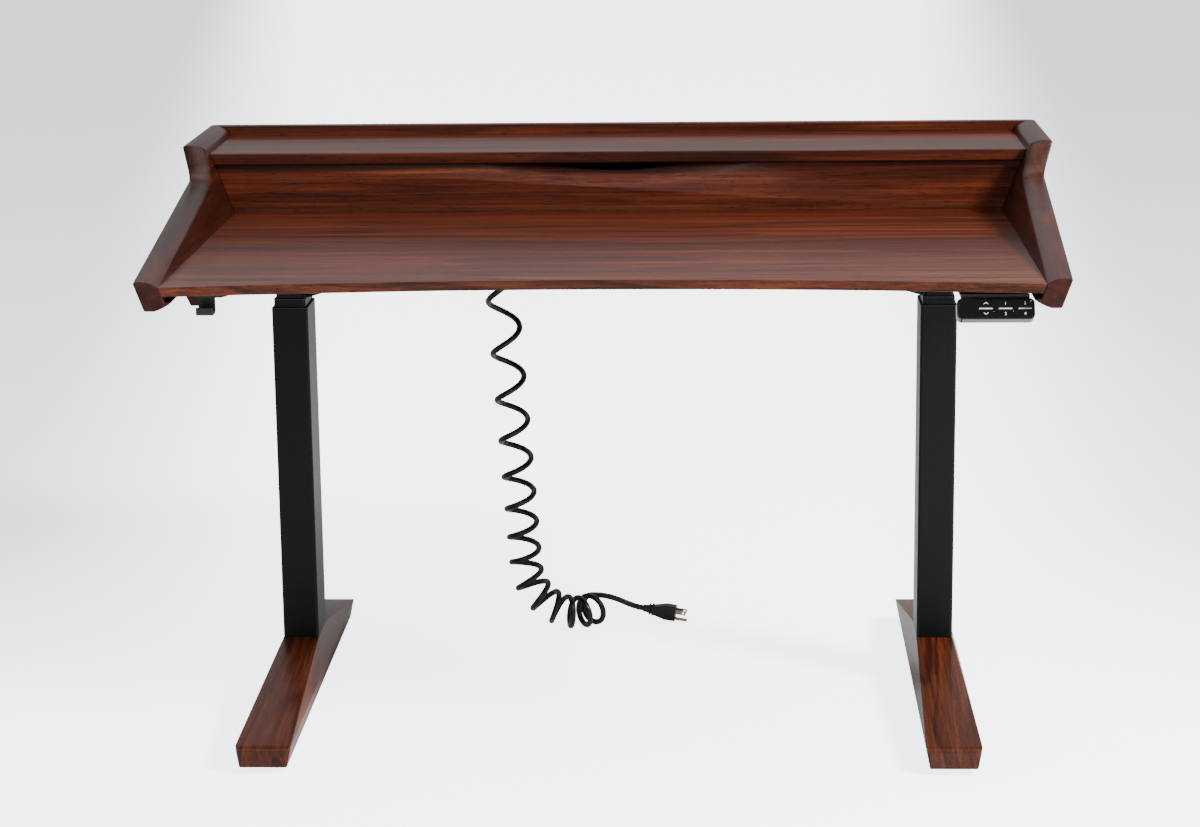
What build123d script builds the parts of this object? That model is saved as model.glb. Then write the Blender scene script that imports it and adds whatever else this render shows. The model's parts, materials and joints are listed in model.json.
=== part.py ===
from build123d import *
import math
import os

os.makedirs("parts", exist_ok=True)

# Height-adjustable desk, in millimetres. X runs to the right, Y to the back, Z up.
# The origin is on the floor under the middle of the top. The desk is at its lowest height.

# Whole desk
overall_depth = 795.0
surface_height = 650.0
column_spacing = 894.0
column_setback = 58.5
overrun = 4.0
running_gap = 0.3
bearing_gap = 0.05
parked_gap = 1.7

# Timber top
worktop_width = 1094.0
worktop_thickness = 19.0
front_bow = 41.0
front_bevel_depth = 42.0
front_bevel_height = 7.0
passage_length = 60.0
passage_width = 25.0
passage_setback = 62.0
edge_softening = 1.5

# Cheeks: boards that lean outward and carry the raised shelf between them
cheek_thickness = 28.0
cheek_lean = math.radians(20.0)
crest_height = 117.0
arm_front_height = 16.0
arm_back_height = 73.0
arm_length = 528.5
crest_setback = 33.0
arm_fillet = 42.0
crown_drop = 16.0
crown_shoulder = 3.5
cheek_hang = 22.2
ledge_inset = 9.1
belly_inset = 12.7
belly_run = 13.0
belly_rise = 5.5

# Raised shelf, the riser in front of it and the panel behind it
shelf_thickness = 16.5
shelf_top_rise = 87.3
shelf_overhang = 8.0
riser_thickness = 16.0
riser_housing = 4.0
back_panel_thickness = 19.0
compartment_depth = 171.6
shelf_softening = 2.0
slot_width = 238.0
slot_depth = 12.4
scoop_width = 427.2
scoop_depth = 35.0
scoop_reach = 11.0

# Battens under the ends of the worktop
batten_width = 26.5
batten_height = 19.0
batten_slope = 9.0
batten_front_inset = 79.5
batten_back_inset = 47.5
batten_gap = 0.5

# Bag hook under the left end
hook_inset = 52.5
hook_depth = 24.0
hook_outer = 510.5
hook_width = 21.0
hook_plate_width = 45.0
hook_plate = 3.5
hook_plate_taper = 12.0
hook_wall = 4.0
hook_drop = 27.0
hook_lip = 10.0

# Feet
foot_clearance = 9.0
foot_bottom_half = 31.0
foot_arris_half = 36.5
foot_top_half = 25.0
foot_arris_height = 36.0
foot_top_height = 70.3
foot_front_inset = 44.0
foot_back_inset = 73.6
foot_flat_half = 40.0
foot_end_radius = 9.0
foot_nose_radius = 8.0
foot_plate_thickness = 5.0
foot_plate_half = 19.0
foot_plate_inset = 22.0
foot_plate_gap = 0.2

# Levelling glides
glide_inset = 45.0
glide_pad_radius = 19.0
glide_pad_height = 6.0
glide_pad_softening = 1.5
glide_nut_width = 13.0
glide_stud_radius = 4.0
glide_stud_top = 27.0
insert_radius = 8.0
insert_height = 22.0

# Three nested tubes of each column
outer_tube_width = 50.0
outer_tube_depth = 80.0
outer_tube_wall = 1.8
mid_tube_width = 44.0
mid_tube_depth = 74.0
mid_tube_wall = 1.6
inner_tube_width = 38.4
inner_tube_depth = 68.4
inner_tube_wall = 1.6
tube_corner = 4.0
outer_tube_drop = 11.8
mid_tube_drop = 22.5
collar_rim = 1.0
collar_sleeve = 20.0
base_plate_thickness = 8.0
column_bolt_x = 14.0
column_bolt_y = 27.0
column_bolt_radius = 4.0
column_bolt_head_radius = 6.5
column_bolt_head = 4.4
bolt_hole_gap = 0.3

# Screw drive inside each column
shoe_flange = 6.0
mid_shoe_plug = 10.0
travel_nut_plug = 20.0
base_screw_radius = 8.0
base_screw_bore = 5.0
base_screw_drop = 19.7
lift_screw_radius = 12.0
lift_screw_bore = 8.5
lift_nut_radius = 14.0
lift_screw_drop = 3.7
spline_collar_length = 12.0
spline_radius = 4.5
spline_foot_gap = 22.0
stage_gap = 2.0

# Leg heads, brackets, crossbars, motors
head_width = 60.0
head_depth = 96.0
head_height = 33.0
head_wall = 3.0
gearbox_width = 44.0
gearbox_depth = 70.0
gearbox_height = 44.0
gearbox_bore_depth = 12.0
motor_radius = 17.0
motor_length = 86.0
motor_boss_radius = 11.0
motor_softening = 3.0
bracket_length = 560.0
bracket_wall = 2.5
bracket_height = 20.0
crossbar_width = 25.0
crossbar_height = 26.0
crossbar_wall = 2.0
crossbar_offset = 33.0
crossbar_softening = 3.0
brace_thickness = 3.0
brace_width = 40.0
brace_foot_rise = 1.5
brace_tab = 16.0
brace_reach = 88.0
brace_flat = 28.0

# Control box and the gland of the power cord
control_left = -190.0
control_right = 70.0
control_inset = 97.5
control_depth = 85.0
control_height = 38.0
control_corner = 8.0
gland_flange_radius = 9.0
gland_flange = 3.0
gland_radius = 6.5
gland_end_radius = 4.8
gland_rib = 0.8
gland_rib_count = 4

# Hand controller
handset_x = 486.0
handset_face_inset = 10.0
handset_face_drop = 13.0
handset_tilt = math.radians(26.6)
handset_width = 95.5
handset_height = 27.0
handset_depth = 17.0
handset_corner = 6.5
handset_tab_width = 84.0
handset_tab_back = 55.0
handset_tab_thickness = 3.0
handset_tab_rise = 2.8
key_width = 20.0
key_height = 9.4
key_pitch = 24.0
key_row_offset = 6.6
key_first_x = -12.4
key_corner = 2.0
key_thickness = 4.0
key_proud = 0.8
key_travel = 0.8
key_gap = 0.15
bar_width = 16.0
bar_height = 1.4
bar_thickness = 0.8
window_x = -36.0
window_width = 18.0
window_height = 21.0
window_thickness = 1.0

# Screws that hold the frame to the timber
wood_screw_radius = 2.25
wood_screw_length = 16.0
wood_screw_head_radius = 4.5
wood_screw_head = 2.6
screw_hole_gap = 0.25
bracket_screw_inset = 30.0

# Power cord: it hangs as a curly helix, bends on to the floor and ends in its plug
cord_diameter = 8.6
coil_radius = 21.3
coil_y = 277.0
coil_top_x = -171.0
coil_start_drop = 23.49817
coil_lean = math.radians(3.9)
coil_bend = 85.5
coil_yaw = math.radians(62.0)
coil_yaw_power = 3
coil_spread_share = 1.4
coil_decay_turns = 8.5
coil_first_turn = -0.75
coil_full_turn = -0.25
coil_last_turn = 13.26
coil_sample_turns = 64
arcs_per_turn = 4
least_spread = 1e-9
tail_rise = Vector(-33.0, 332.0, 39.5)
tail_rise_heading = Vector(0.99, 0.03, -0.1)
plug_start = Vector(33.2, 333.0, 18.6)
plug_heading = Vector(62.0, -9.0, -7.5)

# Plug
plug_relief_length = 10.0
plug_relief_radius = 5.0
plug_flange_radius = 9.6
plug_flange = 2.4
plug_body_length = 34.0
plug_neck_half = 6.6
plug_nose_half = 11.4
plug_nose_start = 18.0
plug_side_half = 9.5
blade_length = 15.9
blade_width = 6.35
blade_thickness = 1.5
blade_spacing = 12.7
blade_seat = 6.0
blade_hole_radius = 1.6
blade_hole_inset = 4.0
ground_radius = 2.4
ground_offset = 11.9
blade_rise = 3.4

# Places that follow from the sizes above
front_y = -overall_depth / 2
back_y = overall_depth / 2
worktop_half = worktop_width / 2
worktop_bottom = surface_height - worktop_thickness
panel_front = back_y - back_panel_thickness
riser_back = panel_front - compartment_depth
riser_front = riser_back - riser_thickness
shelf_top = surface_height + shelf_top_rise
shelf_bottom = shelf_top - shelf_thickness
foot_bottom = foot_clearance
foot_front = front_y + foot_front_inset
foot_back = back_y - foot_back_inset
base_plate_top = foot_top_height + base_plate_thickness
mid_shoe_bottom = base_plate_top + parked_gap
mid_tube_bottom = mid_shoe_bottom + shoe_flange
lift_nut_top = mid_tube_bottom + mid_shoe_plug
inner_shoe_bottom = lift_nut_top + stage_gap
inner_tube_bottom = inner_shoe_bottom + shoe_flange
head_top = worktop_bottom - bracket_height
inner_tube_top = head_top - head_height
mid_tube_top = inner_tube_top - mid_tube_drop
outer_tube_top = mid_tube_top - outer_tube_drop
base_screw_top = outer_tube_top - base_screw_drop
lift_screw_top = outer_tube_top - lift_screw_drop
column_x = column_spacing / 2
batten_front = front_y + batten_front_inset
batten_back = back_y - batten_back_inset
hook_front = front_y + hook_inset
control_back = back_y - control_inset
control_front = control_back - control_depth
handset_face_y = front_y + handset_face_inset
handset_face_z = worktop_bottom - handset_face_drop
sides = (("left", -1), ("right", 1))


def save(node, shape):
    """Write one named piece."""
    export_step(shape, f"parts/{node}.step")
    return shape


def block(x, y, z):
    """Box between the low and high values of each axis."""
    size = (x[1] - x[0], y[1] - y[0], z[1] - z[0])
    return Pos(sum(x) / 2, sum(y) / 2, sum(z) / 2) * Box(*size)


def outline_xz(points):
    """Flat face through (x, z) corners."""
    return make_face(Polyline(*[(x, 0, z) for x, z in points], close=True))


def outline_yz(points):
    """Flat face through (y, z) corners."""
    return make_face(Polyline(*[(0, y, z) for y, z in points], close=True))


def along_y(face, y0, y1):
    """Face in the XZ plane, made solid from y0 back to y1."""
    return Pos(0, y0, 0) * extrude(face, y1 - y0, dir=(0, 1, 0))


def along_x(face, x0, x1):
    """Face in the YZ plane, made solid from x0 to x1."""
    return Pos(x0, 0, 0) * extrude(face, x1 - x0, dir=(1, 0, 0))


def rod(radius, z0, z1):
    """Upright cylinder about the Z axis."""
    return Pos(0, 0, (z0 + z1) / 2) * Cylinder(radius, z1 - z0)


def round_box(width, depth, corner, z0, z1):
    """Upright block with rounded corners about the Z axis."""
    return Pos(0, 0, z0) * extrude(RectangleRounded(width, depth, corner), z1 - z0)


def tube(width, depth, wall, z0, z1):
    """Upright rectangular tube with rounded corners."""
    bore = round_box(width - 2 * wall, depth - 2 * wall, tube_corner - wall, z0 - overrun, z1 + overrun)
    return round_box(width, depth, tube_corner, z0, z1) - bore


def at_columns(shape):
    """The same piece on the left and on the right column."""
    return [Pos(sign * column_x, column_setback, 0) * shape for _, sign in sides]


def inner_half(z):
    """Half the clear width between the leaning cheeks at a height."""
    return worktop_half + (z - surface_height) * math.tan(cheek_lean)


def between_cheeks(y0, y1, z0, z1):
    """Board whose ends are mitred to the cheeks."""
    low, high = inner_half(z0), inner_half(z1)
    return along_y(outline_xz([(-low, z0), (low, z0), (high, z1), (-high, z1)]), y0, y1)


def board_point(u, v):
    """Point of the right cheek's section: u across its thickness, v up the board."""
    x = worktop_half + u * math.cos(cheek_lean) + v * math.sin(cheek_lean)
    z = surface_height - u * math.sin(cheek_lean) + v * math.cos(cheek_lean)
    return (x, 0, z)


# Cheeks
def crown_air():
    """Section of the air above a crown, u across the board and w away from its edge."""
    t = cheek_thickness
    arc = ThreePointArc((0, -crown_drop), (t / 2, -crown_shoulder), (t, 0))
    rest = Polyline(
        (t, 0),
        (t + overrun, 0),
        (t + overrun, arm_fillet),
        (-overrun, arm_fillet),
        (-overrun, -crown_drop),
        (0, -crown_drop),
    )
    return make_face([arc, *rest.edges()])


def arm_cutter():
    """Air above the low arm and in front of the crest, in the board's own axes."""
    arm_angle = math.atan2(arm_back_height - arm_front_height, arm_length)
    rise = crest_height - arm_back_height
    face_angle = math.atan2(rise, crest_setback)
    arm_dir = Vector(math.cos(arm_angle), math.sin(arm_angle), 0)
    face_dir = Vector(math.cos(face_angle), math.sin(face_angle), 0)
    arm_normal = Vector(-arm_dir.Y, arm_dir.X, 0)
    front = Vector(front_y, arm_front_height, 0)
    corner = front + Vector(arm_length, arm_back_height - arm_front_height, 0)
    crest = corner + Vector(crest_setback, rise, 0)
    tangent = arm_fillet * math.tan((face_angle - arm_angle) / 2)
    arm_end = corner - arm_dir * tangent
    face_start = corner + face_dir * tangent
    centre = arm_end + arm_normal * arm_fillet
    start = front - arm_dir * overrun
    section = crown_air()

    def placed(point, heading):
        return Plane(origin=point, x_dir=(0, 0, 1), z_dir=-heading).location * section

    arm = extrude(placed(start, arm_dir), (arm_end - start).length, dir=arm_dir)
    turn = math.degrees(face_angle - arm_angle)
    fillet_air = revolve(placed(arm_end, arm_dir), Axis(centre, (0, 0, 1)), turn)
    face_run = (crest - face_start).length + overrun
    face = extrude(placed(face_start, face_dir), face_run, dir=face_dir)
    top = crest_height + overrun
    top_y = centre.X + (top - centre.Y) / math.tan(face_angle)
    far_y = front_y - overrun
    far_v = centre.Y - (centre.X - far_y) * math.tan(arm_angle)
    above = make_face(
        Polyline((centre.X, centre.Y), (top_y, top), (far_y, top), (far_y, far_v), close=True)
    )
    above = Pos(0, 0, -overrun) * extrude(above, cheek_thickness + 2 * overrun)
    return arm + fillet_air + face + above


def cheek_section():
    """Right cheek's section, from its crest down to the ledge that carries the worktop."""
    t = cheek_thickness
    inner_crest = board_point(0, crest_height - crown_drop)
    crown = ThreePointArc(
        inner_crest, board_point(t / 2, crest_height - crown_shoulder), board_point(t, crest_height)
    )
    heel = board_point(t, -cheek_hang)
    belly_start = (heel[0] - belly_inset, 0, heel[2])
    ledge_root = (inner_half(worktop_bottom), 0, worktop_bottom)
    ledge_tip = (ledge_root[0] - ledge_inset, 0, worktop_bottom)
    belly_mid = (belly_start[0] - belly_run, 0, heel[2] + belly_rise)
    belly = ThreePointArc(belly_start, belly_mid, ledge_tip)
    lines = [
        Line(board_point(t, crest_height), heel),
        Line(heel, belly_start),
        Line(ledge_tip, ledge_root),
        Line(ledge_root, inner_crest),
    ]
    return make_face([crown, belly, *lines])


def right_cheek():
    """Right cheek with its low arm in front and its crest behind."""
    board = Plane(
        origin=(worktop_half, 0, surface_height),
        x_dir=(0, 1, 0),
        z_dir=(math.cos(cheek_lean), 0, -math.sin(cheek_lean)),
    )
    return along_y(cheek_section(), front_y, back_y) - board.location * arm_cutter()


cheek = right_cheek()
save("cheek_right", cheek)
save("cheek_left", mirror(cheek, about=Plane.YZ))


# Worktop
def front_air(z, setback):
    """Face of the air in front of the bowed edge, at a height."""
    y = front_y + setback
    arc = ThreePointArc((-worktop_half, y), (0, y + front_bow), (worktop_half, y))
    far_x = worktop_half + overrun
    far_y = front_y - overrun
    rest = Polyline(
        (worktop_half, y), (far_x, y), (far_x, far_y), (-far_x, far_y), (-far_x, y), (-worktop_half, y)
    )
    return Pos(0, 0, z) * make_face([arc, *rest.edges()])


def worktop():
    """Worktop with its bowed front, the bevel under it and the oval passage at the back."""
    board = between_cheeks(front_y, panel_front, worktop_bottom, surface_height)
    board -= extrude(front_air(worktop_bottom, 0), worktop_thickness)
    bevel_top = worktop_bottom + front_bevel_height
    bevel_faces = [front_air(worktop_bottom, front_bevel_depth), front_air(bevel_top, 0)]
    board -= loft(bevel_faces, ruled=True)
    board -= between_cheeks(riser_front, riser_back, surface_height - riser_housing, surface_height)
    passage = extrude(SlotOverall(passage_length, passage_width), worktop_thickness + 2 * overrun)
    return board - Pos(0, panel_front - passage_setback, worktop_bottom - overrun) * passage


# Riser, shelf and back panel
def segment(y, width, depth):
    """Round-bottomed segment hanging from the shelf's underside."""
    ends = ((-width / 2, y, shelf_bottom), (width / 2, y, shelf_bottom))
    arc = ThreePointArc(ends[0], (0, y, shelf_bottom - depth), ends[1])
    return make_face([arc, Line(ends[1], ends[0])])


def riser():
    """Riser let into the worktop, with its round slot and the scoop that leads to it."""
    panel = between_cheeks(riser_front, riser_back, surface_height - riser_housing, shelf_bottom)
    scoop_back = riser_front + scoop_reach
    faces = [segment(riser_front, scoop_width, scoop_depth), segment(scoop_back, slot_width, slot_depth)]
    panel -= loft(faces, ruled=True)
    slot = extrude(segment(scoop_back, slot_width, slot_depth), riser_thickness, dir=(0, 1, 0))
    return panel - slot


def shelf():
    """Shelf board with softened front edges."""
    board = between_cheeks(riser_front - shelf_overhang, panel_front, shelf_bottom, shelf_top)
    front_edges = board.faces().sort_by(Axis.Y)[0].edges().filter_by(Axis.X)
    return fillet(front_edges, shelf_softening)


def back_panel():
    """Panel behind the compartment; its top edge is coped over the cheeks' crowns."""
    crown_top = board_point(cheek_thickness / 2, crest_height - crown_shoulder)
    inner_crest = board_point(0, crest_height - crown_drop)
    panel = between_cheeks(panel_front, back_y, surface_height, inner_crest[2])
    wide = (-crown_top[0], crown_top[0])
    rail = block(wide, (panel_front, back_y), (inner_crest[2], crown_top[2]))
    return panel + (rail - cheek - mirror(cheek, about=Plane.YZ))


save("riser_panel", riser())
save("upper_shelf", shelf())
save("back_panel", back_panel())


# Battens and hook
def batten(sign):
    """Batten along the inner edge of a cheek's ledge."""
    outer = inner_half(worktop_bottom) - ledge_inset - batten_gap
    low = worktop_bottom - batten_height
    inner = outer - batten_width
    points = [
        (sign * outer, worktop_bottom),
        (sign * (outer - batten_slope), low),
        (sign * inner, low),
        (sign * inner, worktop_bottom),
    ]
    return along_y(outline_xz(points), batten_front, batten_back)


def hook():
    """Moulded hook: a tapered plate, and a strap that turns forward and up in a low lip."""
    low = worktop_bottom - hook_drop
    under_plate = worktop_bottom - hook_plate
    hook_back = hook_front + hook_depth
    profile = outline_yz(
        [
            (hook_back, worktop_bottom),
            (hook_back, low),
            (hook_front, low),
            (hook_front, low + hook_lip),
            (hook_front + hook_wall, low + hook_lip),
            (hook_front + hook_wall, low + hook_wall),
            (hook_back - hook_wall, low + hook_wall),
            (hook_back - hook_wall, worktop_bottom),
        ]
    )
    strap = along_x(profile, -hook_outer, hook_width - hook_outer)
    strap = fillet(strap.edges().filter_by(Axis.X).group_by(Axis.Z)[0], hook_wall)
    plate_end = hook_plate_width - hook_outer
    plate = outline_xz(
        [
            (-hook_outer, worktop_bottom),
            (plate_end, worktop_bottom),
            (plate_end - hook_plate_taper, under_plate),
            (-hook_outer, under_plate),
        ]
    )
    return strap + along_y(plate, hook_front, hook_back)


for side, sign in sides:
    save(f"batten_{side}", batten(sign))
save("bag_hook", hook())


# Feet
def foot_form():
    """Six-sided timber section, cut to the roof line that falls away from the column."""
    section = outline_xz(
        [
            (-foot_bottom_half, foot_bottom),
            (foot_bottom_half, foot_bottom),
            (foot_arris_half, foot_arris_height),
            (foot_top_half, foot_top_height),
            (-foot_top_half, foot_top_height),
            (-foot_arris_half, foot_arris_height),
        ]
    )
    roof = outline_yz(
        [
            (foot_front, foot_bottom),
            (foot_front, foot_arris_height),
            (column_setback - foot_flat_half, foot_top_height),
            (column_setback + foot_flat_half, foot_top_height),
            (foot_back, foot_arris_height),
            (foot_back, foot_bottom),
        ]
    )
    roof_body = along_x(roof, -foot_arris_half, foot_arris_half)
    nose = roof_body.edges().filter_by(Axis.X).group_by(Axis.Y)[0].sort_by(Axis.Z)[-1]
    roof_body = fillet(nose, foot_nose_radius)
    sides = (-foot_arris_half, foot_arris_half)
    plan = block(sides, (foot_front, foot_back), (foot_bottom, foot_top_height))
    plan = fillet(plan.edges().filter_by(Axis.Z).group_by(Axis.Y)[0], foot_end_radius)
    return along_y(section, foot_front, foot_back) & roof_body & plan


def bolt_places():
    """Four bolt centres about a column's axis."""
    return [(a * column_bolt_x, b * column_bolt_y) for a in (-1, 1) for b in (-1, 1)]


def glide_ys():
    """Front and back glide positions along a foot."""
    return (foot_front + glide_inset, foot_back - glide_inset)


def plate_block(gap):
    """Flat bar let into the foot's underside; gap widens it to its groove."""
    half = foot_plate_half + gap
    y = (foot_front + foot_plate_inset - gap, foot_back - foot_plate_inset + gap)
    return block((-half, half), y, (foot_bottom, foot_bottom + foot_plate_thickness))


def foot():
    """Timber foot with its groove, its insert sockets and the bolt holes under the column."""
    body = foot_form() - plate_block(foot_plate_gap)
    hole = rod(column_bolt_radius + bolt_hole_gap, foot_bottom, foot_top_height + overrun)
    for x, y in bolt_places():
        body -= Pos(x, column_setback + y, 0) * hole
    for y in glide_ys():
        body -= Pos(0, y, 0) * rod(insert_radius, foot_bottom, foot_bottom + insert_height)
    return body


def foot_plate():
    """Steel bar in the groove, drilled for the inserts and the column bolts."""
    plate = plate_block(0)
    for y in glide_ys():
        plate -= Pos(0, y, 0) * rod(insert_radius, foot_bottom, foot_top_height)
    for x, y in bolt_places():
        hole = rod(column_bolt_radius + bolt_hole_gap, foot_bottom, foot_top_height)
        plate -= Pos(x, column_setback + y, 0) * hole
    return plate


def glide_insert():
    """Threaded boss for a glide's stud."""
    body = rod(insert_radius, foot_bottom, foot_bottom + insert_height)
    return body - rod(glide_stud_radius + bearing_gap, 0, foot_top_height)


def glide():
    """Round pad, hexagonal nut and stud."""
    pad = rod(glide_pad_radius, 0, glide_pad_height)
    pad = fillet(pad.edges().group_by(Axis.Z)[-1], glide_pad_softening)
    nut = RegularPolygon(glide_nut_width / 2, 6, major_radius=False)
    nut_height = foot_bottom - running_gap - glide_pad_height
    nut = Pos(0, 0, glide_pad_height) * extrude(nut, nut_height)
    return pad + nut + rod(glide_stud_radius, glide_pad_height, glide_stud_top)


def column_bolt():
    """Socket-head bolt, up through the bar and the timber into the column's base plate."""
    head = rod(column_bolt_head_radius, foot_bottom - column_bolt_head, foot_bottom)
    socket = extrude(RegularPolygon(column_bolt_radius / 2, 6), column_bolt_head / 2)
    head -= Pos(0, 0, foot_bottom - column_bolt_head) * socket
    return head + rod(column_bolt_radius, foot_bottom, base_plate_top)


for side, sign in sides:
    save(f"foot_{side}", Pos(sign * column_x, 0, 0) * foot())
save("foot_plates", Compound([Pos(sign * column_x, 0, 0) * foot_plate() for _, sign in sides]))
glide_places = [
    (f"glide_{end}_{side}", sign * column_x, y)
    for side, sign in sides
    for end, y in zip(("front", "back"), glide_ys())
]
save("glide_inserts", Compound([Pos(x, y, 0) * glide_insert() for _, x, y in glide_places]))
for node, x, y in glide_places:
    save(node, Pos(x, y, 0) * glide())
bolts = [Pos(x, y, 0) * column_bolt() for x, y in bolt_places()]
save("column_bolts", Compound([piece for bolt in bolts for piece in at_columns(bolt)]))


# Columns
def bore_of(width, depth, wall):
    """Width, depth and corner radius of the space inside a tube."""
    return (width - 2 * wall, depth - 2 * wall, tube_corner - wall)


outer_bore = bore_of(outer_tube_width, outer_tube_depth, outer_tube_wall)
mid_bore = bore_of(mid_tube_width, mid_tube_depth, mid_tube_wall)
inner_bore = bore_of(inner_tube_width, inner_tube_depth, inner_tube_wall)


def collar(width, depth, bore, next_width, next_depth, top):
    """Guide collar: a sleeve inside a tube's mouth and a thin rim on top of it."""
    body = round_box(*bore, top - collar_sleeve, top)
    body += round_box(width, depth, tube_corner, top, top + collar_rim)
    gap = 2 * running_gap
    low = top - collar_sleeve - overrun
    return body - round_box(next_width + gap, next_depth + gap, tube_corner, low, top + overrun)


def base_plate():
    """Plate welded inside the outer tube's foot, with its bolt holes."""
    plate = round_box(*outer_bore, foot_top_height, base_plate_top)
    for x, y in bolt_places():
        plate -= Pos(x, y, 0) * rod(column_bolt_radius, foot_arris_height, base_plate_top + overrun)
    return plate


def shoe(bore, next_bore, bottom, plug, hole):
    """Sliding shoe under a tube's end: a flange with a running gap and a plug inside the tube."""
    width, depth = bore[0] - 2 * running_gap, bore[1] - 2 * running_gap
    body = round_box(width, depth, bore[2], bottom, bottom + shoe_flange)
    top = bottom + shoe_flange + plug
    body += round_box(*next_bore, bottom + shoe_flange, top)
    return body - rod(hole, bottom - overrun, top + overrun)


def lift_screw():
    """Hollow screw: its nut foot runs on the base screw and its splined top on the shaft."""
    body = rod(lift_nut_radius, mid_shoe_bottom, lift_nut_top)
    body += rod(lift_screw_radius, lift_nut_top, lift_screw_top)
    body -= rod(base_screw_radius + bearing_gap, mid_shoe_bottom - overrun, lift_nut_top)
    body -= rod(lift_screw_bore, lift_nut_top, lift_screw_top - spline_collar_length)
    collar_low = lift_screw_top - spline_collar_length
    return body - rod(spline_radius + bearing_gap, collar_low, lift_screw_top + overrun)


outer = tube(outer_tube_width, outer_tube_depth, outer_tube_wall, foot_top_height, outer_tube_top)
mid = tube(mid_tube_width, mid_tube_depth, mid_tube_wall, mid_tube_bottom, mid_tube_top)
inner = tube(inner_tube_width, inner_tube_depth, inner_tube_wall, inner_tube_bottom, inner_tube_top)
base_screw = rod(base_screw_radius, base_plate_top, base_screw_top)
base_screw -= rod(base_screw_bore, base_plate_top, base_screw_top)
spline_bottom = base_plate_top + spline_foot_gap
gearbox_bottom = inner_tube_top + head_wall
spline = rod(spline_radius, spline_bottom, gearbox_bottom + gearbox_bore_depth - stage_gap)
mid_size = (mid_tube_width, mid_tube_depth)
inner_size = (inner_tube_width, inner_tube_depth)
outer_collar = collar(outer_tube_width, outer_tube_depth, outer_bore, *mid_size, outer_tube_top)
mid_collar = collar(*mid_size, mid_bore, *inner_size, mid_tube_top)
mid_hole = lift_nut_radius + bearing_gap
nut_hole = lift_screw_radius + bearing_gap
mid_shoe = shoe(outer_bore, mid_bore, mid_shoe_bottom, mid_shoe_plug, mid_hole)
travel_nut = shoe(mid_bore, inner_bore, inner_shoe_bottom, travel_nut_plug, nut_hole)
for node, piece in (
    ("outer_tube", outer),
    ("mid_tube", mid),
    ("inner_tube", inner),
    ("lift_screw", lift_screw()),
    ("spline_shaft", spline),
):
    for (side, _), placed in zip(sides, at_columns(piece)):
        save(f"{node}_{side}", placed)
for node, piece in (
    ("base_plates", base_plate()),
    ("base_screws", base_screw),
    ("outer_collars", outer_collar),
    ("mid_collars", mid_collar),
    ("mid_shoes", mid_shoe),
    ("travel_nuts", travel_nut),
):
    save(node, Compound(at_columns(piece)))


# Leg heads, gearboxes and motors
motor_z = gearbox_bottom + gearbox_height / 2


def leg_head():
    """Open-topped box on the inner tube, with a hole for the shaft and one for the motor."""
    body = round_box(head_width, head_depth, tube_corner, inner_tube_top, head_top)
    inside = (head_width - 2 * head_wall, head_depth - 2 * head_wall)
    body -= round_box(*inside, tube_corner - head_wall, gearbox_bottom, head_top + overrun)
    body -= rod(spline_radius + stage_gap, inner_tube_top - overrun, head_top)
    return body - boss_hole()


def boss_hole():
    """Opening that the motor's boss passes through."""
    return Pos(0, 0, motor_z) * Rot(0, 90, 0) * rod(motor_boss_radius + stage_gap, 0, head_width)


def gearbox():
    """Worm gearbox with the bore that drives the spline shaft."""
    top = gearbox_bottom + gearbox_height
    body = round_box(gearbox_width, gearbox_depth, tube_corner, gearbox_bottom, top)
    body -= rod(spline_radius + bearing_gap, gearbox_bottom - overrun, gearbox_bottom + gearbox_bore_depth)
    boss = rod(motor_boss_radius, gearbox_width / 2, head_width / 2)
    return body + Pos(0, 0, motor_z) * Rot(0, 90, 0) * boss


def motor():
    """Round motor that stands inward from the gearbox."""
    can = rod(motor_radius, head_width / 2, head_width / 2 + motor_length)
    can = fillet(can.edges().group_by(Axis.Z)[-1], motor_softening)
    return Pos(0, 0, motor_z) * Rot(0, 90, 0) * can


def both_inward(shape):
    """A piece modelled for the left column, pointing inward, and its mirror on the right."""
    left = Pos(-column_x, column_setback, 0) * shape
    return [left, mirror(left, about=Plane.YZ)]


def side_bracket():
    """Channel under the end of the worktop, open below, with its screw holes."""
    half = head_width / 2
    y = (-bracket_length / 2, bracket_length / 2)
    body = block((-half, half), y, (head_top, worktop_bottom))
    inner_x = (-half + bracket_wall, half - bracket_wall)
    long_y = (y[0] - overrun, y[1] + overrun)
    body -= block(inner_x, long_y, (head_top - overrun, worktop_bottom - bracket_wall))
    for hole_y in bracket_screw_ys():
        hole = rod(wood_screw_radius + screw_hole_gap, head_top, worktop_bottom + overrun)
        body -= Pos(0, hole_y, 0) * hole
    return body - boss_hole() - Rot(0, 0, 180) * boss_hole()


def bracket_screw_ys():
    """Screw places along a bracket, counted from the column."""
    end = bracket_length / 2 - bracket_screw_inset
    return (-end, -end / 2, end / 2, end)


def wood_screw():
    """Pan-head screw, its head under the bracket's top wall."""
    seat = worktop_bottom - bracket_wall
    head = rod(wood_screw_head_radius, seat - wood_screw_head, seat)
    head = chamfer(head.edges().group_by(Axis.Z)[0], wood_screw_head / 3)
    return head + rod(wood_screw_radius, seat, seat + wood_screw_length)


def crossbar(sign):
    """Rectangular rail between the leg heads."""
    half = column_x - head_width / 2
    y = column_setback + sign * crossbar_offset
    z = (head_top - crossbar_height, head_top)
    section = RectangleRounded(crossbar_width, crossbar_height, crossbar_softening)
    hollow = (crossbar_width - 2 * crossbar_wall, crossbar_height - 2 * crossbar_wall)
    section -= RectangleRounded(*hollow, crossbar_softening - crossbar_wall)
    rail = extrude(Plane.YZ * section, half, both=True)
    return Pos(0, y, sum(z) / 2) * rail


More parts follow.
